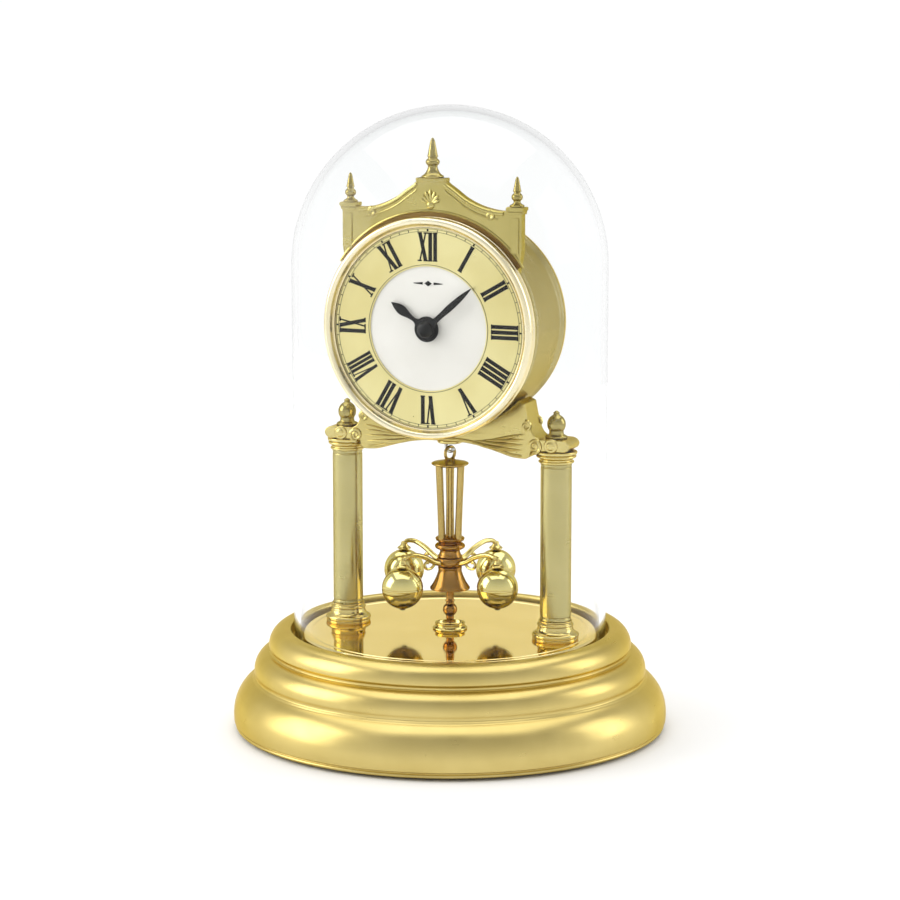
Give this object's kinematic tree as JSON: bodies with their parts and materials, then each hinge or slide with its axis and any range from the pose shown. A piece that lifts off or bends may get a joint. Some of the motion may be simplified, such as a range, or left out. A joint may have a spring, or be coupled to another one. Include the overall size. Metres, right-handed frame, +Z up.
{
  "type": "anniversary clock",
  "caption": "Anniversary clock under a glass dome: round dial drum with spired crest on two columns, turning ball pendulum below, stepped round base.",
  "frame": {"origin": "centre of the base, on the plane of the three rubber feet's undersides", "axes": "+Z up along the dome and the pendulum, -Y the way the dial faces, +X to the dial's three o'clock"},
  "size_m": [0.16, 0.16, 0.2286],
  "materials": {
    "satin_brass": "satin lacquered brass plate",
    "bright_brass": "polished lacquered brass",
    "mirror_brass": "mirror-polished brass plate",
    "deep_brass": "polished reddish brass",
    "dial_cream": "matt cream enamel paint",
    "hand_black": "black semi-gloss paint",
    "dome_glass": "clear blown glass",
    "steel": "plain zinc-plated steel",
    "black_plastic": "moulded black plastic",
    "rubber": "soft black rubber",
    "board_green": "solder-masked circuit board",
    "coil_copper": "enamelled copper winding",
    "cell_wrap": "plain printed steel can"
  },
  "bodies": {
    "frame": {"base_plinth": "satin_brass", "base_top_plate": "mirror_brass", "base_bottom_cover": "black_plastic", "base_foot_1": "rubber", "base_foot_2": "rubber", "base_foot_3": "rubber", "pendulum_guide_cup": "bright_brass", "column_foot_left": "bright_brass", "column_shaft_left": "satin_brass", "column_capital_left": "bright_brass", "column_ball_nut_left": "bright_brass", "tie_bolt_left": "steel", "column_foot_right": "bright_brass", "column_shaft_right": "satin_brass", "column_capital_right": "bright_brass", "column_ball_nut_right": "bright_brass", "tie_bolt_right": "steel", "bridge": "bright_brass", "drum_clamp_bush": "bright_brass", "drum_case": "bright_brass", "bezel": "bright_brass", "dial_plate": "dial_cream", "chapter_ring": "satin_brass", "pediment": "bright_brass", "finial_centre": "bright_brass", "finial_left": "bright_brass", "finial_right": "bright_brass", "movement_front_case": "black_plastic", "movement_rear_case": "black_plastic", "circuit_board": "board_green", "stepping_motor_coil": "coil_copper", "battery_cell": "cell_wrap", "battery_contact_plus": "steel", "battery_contact_minus": "steel", "pendulum_motor": "black_plastic", "rear_cover": "satin_brass", "rear_screw_left": "steel", "rear_screw_right": "steel", "battery_door_pin": "steel"},
    "dome": {"glass_dome": "dome_glass"},
    "pendulum": {"drive_hook": "steel", "pendulum_cage": "bright_brass", "pendulum_bell": "deep_brass", "pendulum_spider": "deep_brass", "pendulum_spindle": "deep_brass", "pendulum_ball_1": "bright_brass", "pendulum_ball_2": "bright_brass", "pendulum_ball_3": "bright_brass", "pendulum_ball_4": "bright_brass"},
    "minute_train": {"minute_arbor": "steel", "minute_hand": "hand_black", "hand_nut": "hand_black"},
    "hour_train": {"hour_wheel": "bright_brass", "hour_hand": "hand_black"},
    "motion_wheel": {"minute_wheel": "bright_brass"},
    "going_wheel": {"third_wheel": "bright_brass"},
    "setting": {"set_knob": "black_plastic"},
    "battery_flap": {"battery_door": "satin_brass"}
  },
  "joints": [
    {"name": "dome_lift", "type": "slide", "parent": "frame", "child": "dome", "axis": [0, 0, 1], "range_m": [0, 0.2]},
    {"name": "pendulum_turn", "type": "hinge", "parent": "frame", "child": "pendulum", "pos_m": [0, 0, 0.1], "axis": [0, 0, 1], "range_deg": [-180, 180]},
    {"name": "minute_hand_turn", "type": "hinge", "parent": "frame", "child": "minute_train", "pos_m": [0, 0, 0.15], "axis": [0, 1, 0], "continuous": true},
    {"name": "hour_hand_turn", "type": "hinge", "parent": "frame", "child": "hour_train", "pos_m": [0, 0, 0.15], "axis": [0, 1, 0], "continuous": true},
    {"name": "minute_wheel_turn", "type": "hinge", "parent": "frame", "child": "motion_wheel", "pos_m": [0.01039, 0, 0.144], "axis": [0, 1, 0], "continuous": true},
    {"name": "third_wheel_turn", "type": "hinge", "parent": "frame", "child": "going_wheel", "pos_m": [-0.01008, 0, 0.15], "axis": [0, 1, 0], "continuous": true},
    {"name": "set_knob_turn", "type": "hinge", "parent": "frame", "child": "setting", "pos_m": [0, 0, 0.138], "axis": [0, 1, 0], "continuous": true},
    {"name": "battery_door_hinge", "type": "hinge", "parent": "frame", "child": "battery_flap", "pos_m": [0, 0.0201, 0.1742], "axis": [1, 0, 0], "range_deg": [0, 100]}
  ],
  "couplings": [
    {"joint": "hour_hand_turn", "follows": "minute_hand_turn", "ratio": 0.083333},
    {"joint": "minute_wheel_turn", "follows": "minute_hand_turn", "ratio": -0.33333},
    {"joint": "third_wheel_turn", "follows": "minute_hand_turn", "ratio": -4},
    {"joint": "set_knob_turn", "follows": "minute_hand_turn", "ratio": 1}
  ]
}
